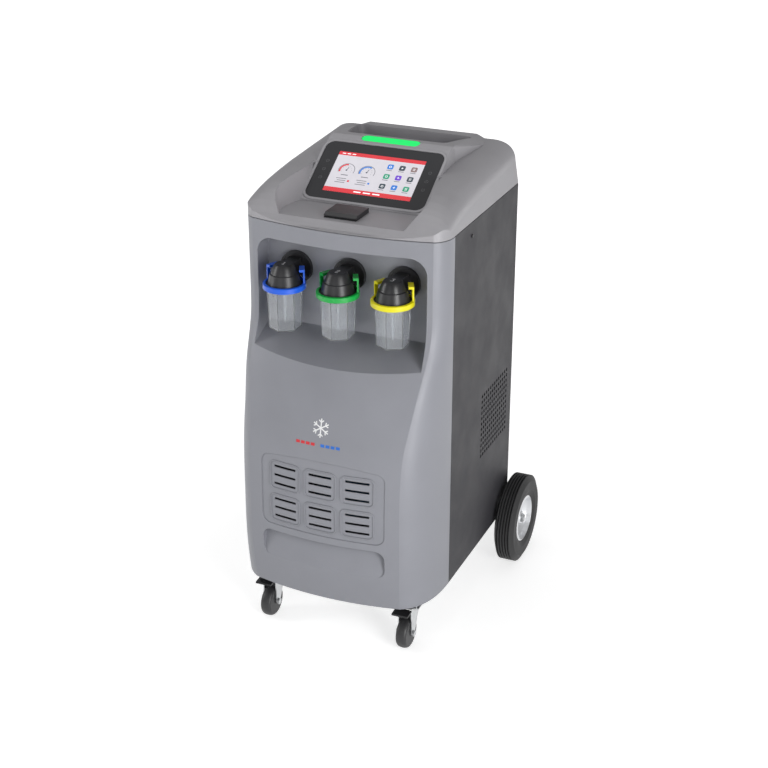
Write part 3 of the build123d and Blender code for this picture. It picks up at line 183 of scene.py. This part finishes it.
class Plates:
    """Flat figures gathered into one mesh."""

    def __init__(self):
        self.verts = []
        self.faces = []

    def polygon(self, points, lift):
        start = len(self.verts)
        self.verts += [(x, y, lift) for x, y in points]
        self.faces.append(tuple(range(start, start + len(points))))

    def rectangle(self, cx, cy, width, height, lift):
        w, h = width / 2, height / 2
        self.polygon([(cx - w, cy - h), (cx + w, cy - h), (cx + w, cy + h), (cx - w, cy + h)], lift)

    def rounded(self, cx, cy, width, height, radius, lift, steps=5):
        points = []
        for sx, sy, start in ((1, 1, 0), (-1, 1, 90), (-1, -1, 180), (1, -1, 270)):
            for i in range(steps + 1):
                a = math.radians(start + 90 * i / steps)
                points.append((cx + sx * (width / 2 - radius) + radius * math.cos(a),
                               cy + sy * (height / 2 - radius) + radius * math.sin(a)))
        self.polygon(points, lift)

    def ring(self, cx, cy, outer, inner, start, end, lift, steps=24):
        for i in range(steps):
            a, b = [math.radians(start + (end - start) * j / steps) for j in (i, i + 1)]
            self.polygon([(cx + r * math.cos(t), cy + r * math.sin(t))
                          for r, t in ((inner, a), (outer, a), (outer, b), (inner, b))], lift)

    def bar(self, x0, y0, x1, y1, width, lift):
        length = math.hypot(x1 - x0, y1 - y0)
        nx, ny = -(y1 - y0) / length * width / 2, (x1 - x0) / length * width / 2
        self.polygon([(x0 + nx, y0 + ny), (x0 - nx, y0 - ny), (x1 - nx, y1 - ny), (x1 + nx, y1 + ny)], lift)

    def build(self, name, material, matrix, body="station", slot=None):
        verts = [matrix @ (Vector(v) * MM) for v in self.verts]
        return mesh_object(name, verts, self.faces, material, body)


# touch panel

TILT = math.radians(32.7)
PANEL = Matrix.Translation((0, -110 * MM, 1068.3 * MM)) @ Matrix.Rotation(TILT, 4, "X")
DISPLAY_W, DISPLAY_LOW, DISPLAY_HIGH = 222.0, 24.5, 147.5

page = Plates()
page.rectangle(0, (DISPLAY_LOW + DISPLAY_HIGH) / 2, DISPLAY_W, DISPLAY_HIGH - DISPLAY_LOW, 0.05)
red = Plates()
red.rectangle(0, DISPLAY_HIGH - 5.5, DISPLAY_W, 11.0, 0.12)
red.rectangle(0, DISPLAY_LOW + 6.5, DISPLAY_W, 13.0, 0.12)
pale = Plates()
grey_lines = Plates()
blue_marks = Plates()
green_marks = Plates()
dark_marks = Plates()
purple_marks = Plates()
brown_marks = Plates()
for k in range(3):
    pale.rectangle(-98 + 13 * k, DISPLAY_HIGH - 5.5, 9, 2.2, 0.2)
    pale.rectangle(-24 + 24 * k, DISPLAY_LOW + 6.5, 18, 3.0, 0.2)
for cx, marks in ((-74, red), (-22, blue_marks)):
    grey_lines.ring(cx, 92, 21, 19.5, 200, -20, 0.12)
    marks.ring(cx, 92, 19, 15, 200, 90 if cx < -50 else 60, 0.12)
    for k in range(9):
        a = math.radians(200 - 27.5 * k)
        grey_lines.bar(cx + 12 * math.cos(a), 92 + 12 * math.sin(a), cx + 14 * math.cos(a), 92 + 14 * math.sin(a), 0.8, 0.12)
    dark_marks.bar(cx, 92, cx + 10 * math.cos(math.radians(70)), 92 + 10 * math.sin(math.radians(70)), 1.4, 0.2)
    dark_marks.ring(cx, 92, 2.2, 0.1, 0, 360, 0.2, 12)
    grey_lines.rectangle(cx, 77, 18, 2.4, 0.12)
    for k in range(3):
        grey_lines.rectangle(cx - 4 + 2 * (k % 2), 66 - 6 * k, 26 - 4 * (k % 2), 1.8, 0.12)
    marks.rectangle(cx + 16, 60, 5, 5, 0.12)
icons = [
    (30, 118, blue_marks), (60, 118, dark_marks), (90, 118, brown_marks),
    (30, 88, green_marks), (60, 88, purple_marks), (90, 88, dark_marks),
    (30, 58, dark_marks), (60, 58, blue_marks), (90, 58, green_marks),
]
for index, (cx, cy, marks) in enumerate(icons):
    marks.rounded(cx, cy, 15, 15, 3.5, 0.12)
    if index % 3 == 0:
        pale.ring(cx, cy, 3.2, 2.2, 0, 360, 0.2, 16)
    elif index % 3 == 1:
        pale.bar(cx - 3, cy, cx + 3, cy, 1.0, 0.2)
        pale.bar(cx, cy - 3, cx, cy + 3, 1.0, 0.21)
    else:
        for k in (-1, 0, 1):
            pale.bar(cx - 3, cy + 2.6 * k, cx + 3, cy + 2.6 * k, 0.8, 0.2)
    grey_lines.rectangle(cx, cy - 11, 14, 1.8, 0.12)
for name, plates, colour, strength in (
    ("screen_page", page, (0.66, 0.64, 0.69), 0.62), ("screen_red", red, (0.60, 0.018, 0.03), 0.8),
    ("screen_pale", pale, (0.95, 0.95, 0.97), 0.95), ("screen_grey", grey_lines, (0.16, 0.16, 0.19), 0.7),
    ("screen_blue", blue_marks, (0.03, 0.17, 0.55), 0.8), ("screen_green", green_marks, (0.02, 0.28, 0.16), 0.8),
    ("screen_dark", dark_marks, (0.03, 0.05, 0.07), 0.7), ("screen_purple", purple_marks, (0.13, 0.04, 0.50), 0.8),
    ("screen_brown", brown_marks, (0.20, 0.13, 0.13), 0.8),
):
    plates.build(name, glow(name + "_light", colour, strength), PANEL, slot="screen_glass")

keys = Plates()
for side in (-1, 1):
    for k in range(3):
        keys.ring(side * 131, 62 + 26 * k, 4.2, 3.6, 0, 360, 0.05, 20)
        keys.bar(side * 131 - 1.6, 62 + 26 * k, side * 131 + 1.6, 62 + 26 * k, 0.7, 0.06)
keys.build("panel_keys", surface("key_print", (0.13, 0.13, 0.14), 0.4), PANEL, slot="bezel_glass")


# numerals on the bottle caps

STROKES = {
    1: [(-2.5, 4.5, 0.5, 7), (0.5, 7, 0.5, -7), (-2.5, -7, 3.5, -7)],
    2: [(-4, 5, -2, 7), (-2, 7, 2, 7), (2, 7, 4, 4.5), (4, 4.5, -4, -7), (-4, -7, 4, -7)],
    3: [(-4, 7, 4, 7), (4, 7, 0, 1.5), (0, 1.5, 4, -2.5), (4, -2.5, 2, -7), (2, -7, -4, -7)],
}
numeral_white = surface("numeral_print", (0.75, 0.75, 0.77), 0.45, vary=0.02)
for number, strokes in STROKES.items():
    figure = Plates()
    for k, stroke in enumerate(strokes):
        figure.bar(*stroke, 1.9, 0.05 + 0.01 * k)
    place = Matrix.Translation(((number - 2) * 136.6 * MM, -247.5 * MM, 948 * MM))
    figure.build(f"cap_numeral_{number}", numeral_white, place, f"bottle_{number}", "black_plastic")


# mark on the cover

def bvh_of(node):
    mesh = NODES[node].data
    return BVHTree.FromPolygons([v.co.copy() for v in mesh.vertices], [tuple(p.vertices) for p in mesh.polygons])


COVER = bvh_of("front_cover")


def drape_front(plates, name, material, lift=0.0002):
    """Lay flat figures, drawn in X and Z, onto the front of the cover."""
    verts = []
    for x, z, up in plates.verts:
        hit = COVER.ray_cast(Vector((x * MM, -1.0, z * MM)), Vector((0, 1, 0)))[0]
        verts.append((x * MM, hit.y - lift - up * MM, z * MM))
    return mesh_object(name, verts, plates.faces, material)


flake = Plates()
for k in range(6):
    a = math.radians(90 + 60 * k)
    cx, cz = -4, 592
    flake.bar(cx, cz, cx + 22 * math.cos(a), cz + 22 * math.sin(a), 3.0, 0.02 * k)
    bx, bz = cx + 13 * math.cos(a), cz + 13 * math.sin(a)
    for turn in (-50, 50):
        b = a + math.radians(turn)
        flake.bar(bx, bz, bx + 8 * math.cos(b), bz + 8 * math.sin(b), 2.6, 0.12 + 0.01 * k)
drape_front(flake, "cover_snowflake", surface("mark_white", (0.85, 0.85, 0.86), 0.4, vary=0.02))
warm, cold = Plates(), Plates()
for k in range(4):
    warm.rectangle(-60 + 13 * k, 552, 10, 7, 0.0)
    cold.rectangle(4 + 13 * k, 552, 10, 7, 0.0)
drape_front(warm, "cover_warm_bars", surface("mark_red", (0.62, 0.03, 0.04), 0.4, vary=0.03))
drape_front(cold, "cover_cold_bars", surface("mark_blue", (0.03, 0.16, 0.60), 0.4, vary=0.03))


# camera, lights, floor

def area(name, place, target, size, power, size_y=None):
    data = bpy.data.lights.new(name, "AREA")
    data.energy = power
    data.size = size
    if size_y:
        data.shape = "RECTANGLE"
        data.size_y = size_y
    obj = bpy.data.objects.new(name, data)
    obj.location = place
    obj.rotation_mode = "QUATERNION"
    obj.rotation_quaternion = (Vector(target) - Vector(place)).to_track_quat("-Z", "Y")
    bpy.context.collection.objects.link(obj)


camera_data = bpy.data.cameras.new("camera")
camera_data.lens = 74.13
camera_data.sensor_width = 36.0
camera_data.clip_end = 100.0
camera = bpy.data.objects.new("camera", camera_data)
eye = Vector((1.4358, -3.30795, 2.2173))
aim = Vector((0.0444, -0.08325, 0.605))
camera.location = eye
camera.rotation_mode = "QUATERNION"
camera.rotation_quaternion = (aim - eye).to_track_quat("-Z", "Y")
bpy.context.collection.objects.link(camera)
bpy.context.scene.camera = camera

area("light_top", (-0.4, 0.4, 3.6), (0, 0, 0.8), 2.6, 18)
area("light_right", (2.8, -2.2, 1.2), (0.1, -0.1, 0.6), 1.2, 84, 2.4)
area("light_left", (-2.8, -1.4, 1.6), (-0.1, -0.1, 0.9), 0.8, 30, 1.8)
area("light_front", (-0.3, -3.6, 1.5), (0, 0, 0.8), 1.6, 9)

world = bpy.data.worlds.new("world")
bpy.context.scene.world = world
world.use_nodes = True
background = world.node_tree.nodes["Background"]
background.inputs["Color"].default_value = (1, 1, 1, 1)
background.inputs["Strength"].default_value = 0.30

floor_mesh = bpy.data.meshes.new("floor")
floor_mesh.from_pydata([(-20, -20, 0), (20, -20, 0), (20, 20, 0), (-20, 20, 0)], [], [(0, 1, 2, 3)])
floor = bpy.data.objects.new("floor", floor_mesh)
bpy.context.collection.objects.link(floor)
floor_mat, tree, bsdf = new_material("floor_paper")
bsdf.inputs["Roughness"].default_value = 0.9
bsdf.inputs["Specular IOR Level"].default_value = 0.1
tint(tree, bsdf, spread(tree, noise(tree, 3.0), 0.0, 1.0), (0.72, 0.72, 0.72), 0.01)
path = tree.nodes.new("ShaderNodeLightPath")
seen = tree.nodes.new("ShaderNodeMath")
seen.operation = "ADD"
seen_all = tree.nodes.new("ShaderNodeMath")
seen_all.operation = "ADD"
seen_all.use_clamp = True
tree.links.new(path.outputs["Is Camera Ray"], seen.inputs[0])
tree.links.new(path.outputs["Is Glossy Ray"], seen.inputs[1])
tree.links.new(seen.outputs[0], seen_all.inputs[0])
tree.links.new(path.outputs["Is Transmission Ray"], seen_all.inputs[1])
coord = tree.nodes.new("ShaderNodeTexCoord")
distance = tree.nodes.new("ShaderNodeVectorMath")
distance.operation = "LENGTH"
tree.links.new(coord.outputs["Object"], distance.inputs[0])
whiten = tree.nodes.new("ShaderNodeMapRange")
whiten.inputs["From Min"].default_value = 0.5
whiten.inputs["From Max"].default_value = 2.2
whiten.inputs["To Min"].default_value = 0.62
whiten.inputs["To Max"].default_value = 1.0
tree.links.new(distance.outputs["Value"], whiten.inputs["Value"])
lift = tree.nodes.new("ShaderNodeMath")
lift.operation = "MULTIPLY"
tree.links.new(whiten.outputs["Result"], lift.inputs[1])
tree.links.new(seen_all.outputs[0], lift.inputs[0])
bsdf.inputs["Emission Color"].default_value = (1, 1, 1, 1)
tree.links.new(lift.outputs[0], bsdf.inputs["Emission Strength"])
floor_mesh.materials.append(floor_mat)

bpy.context.scene.view_settings.view_transform = "Standard"
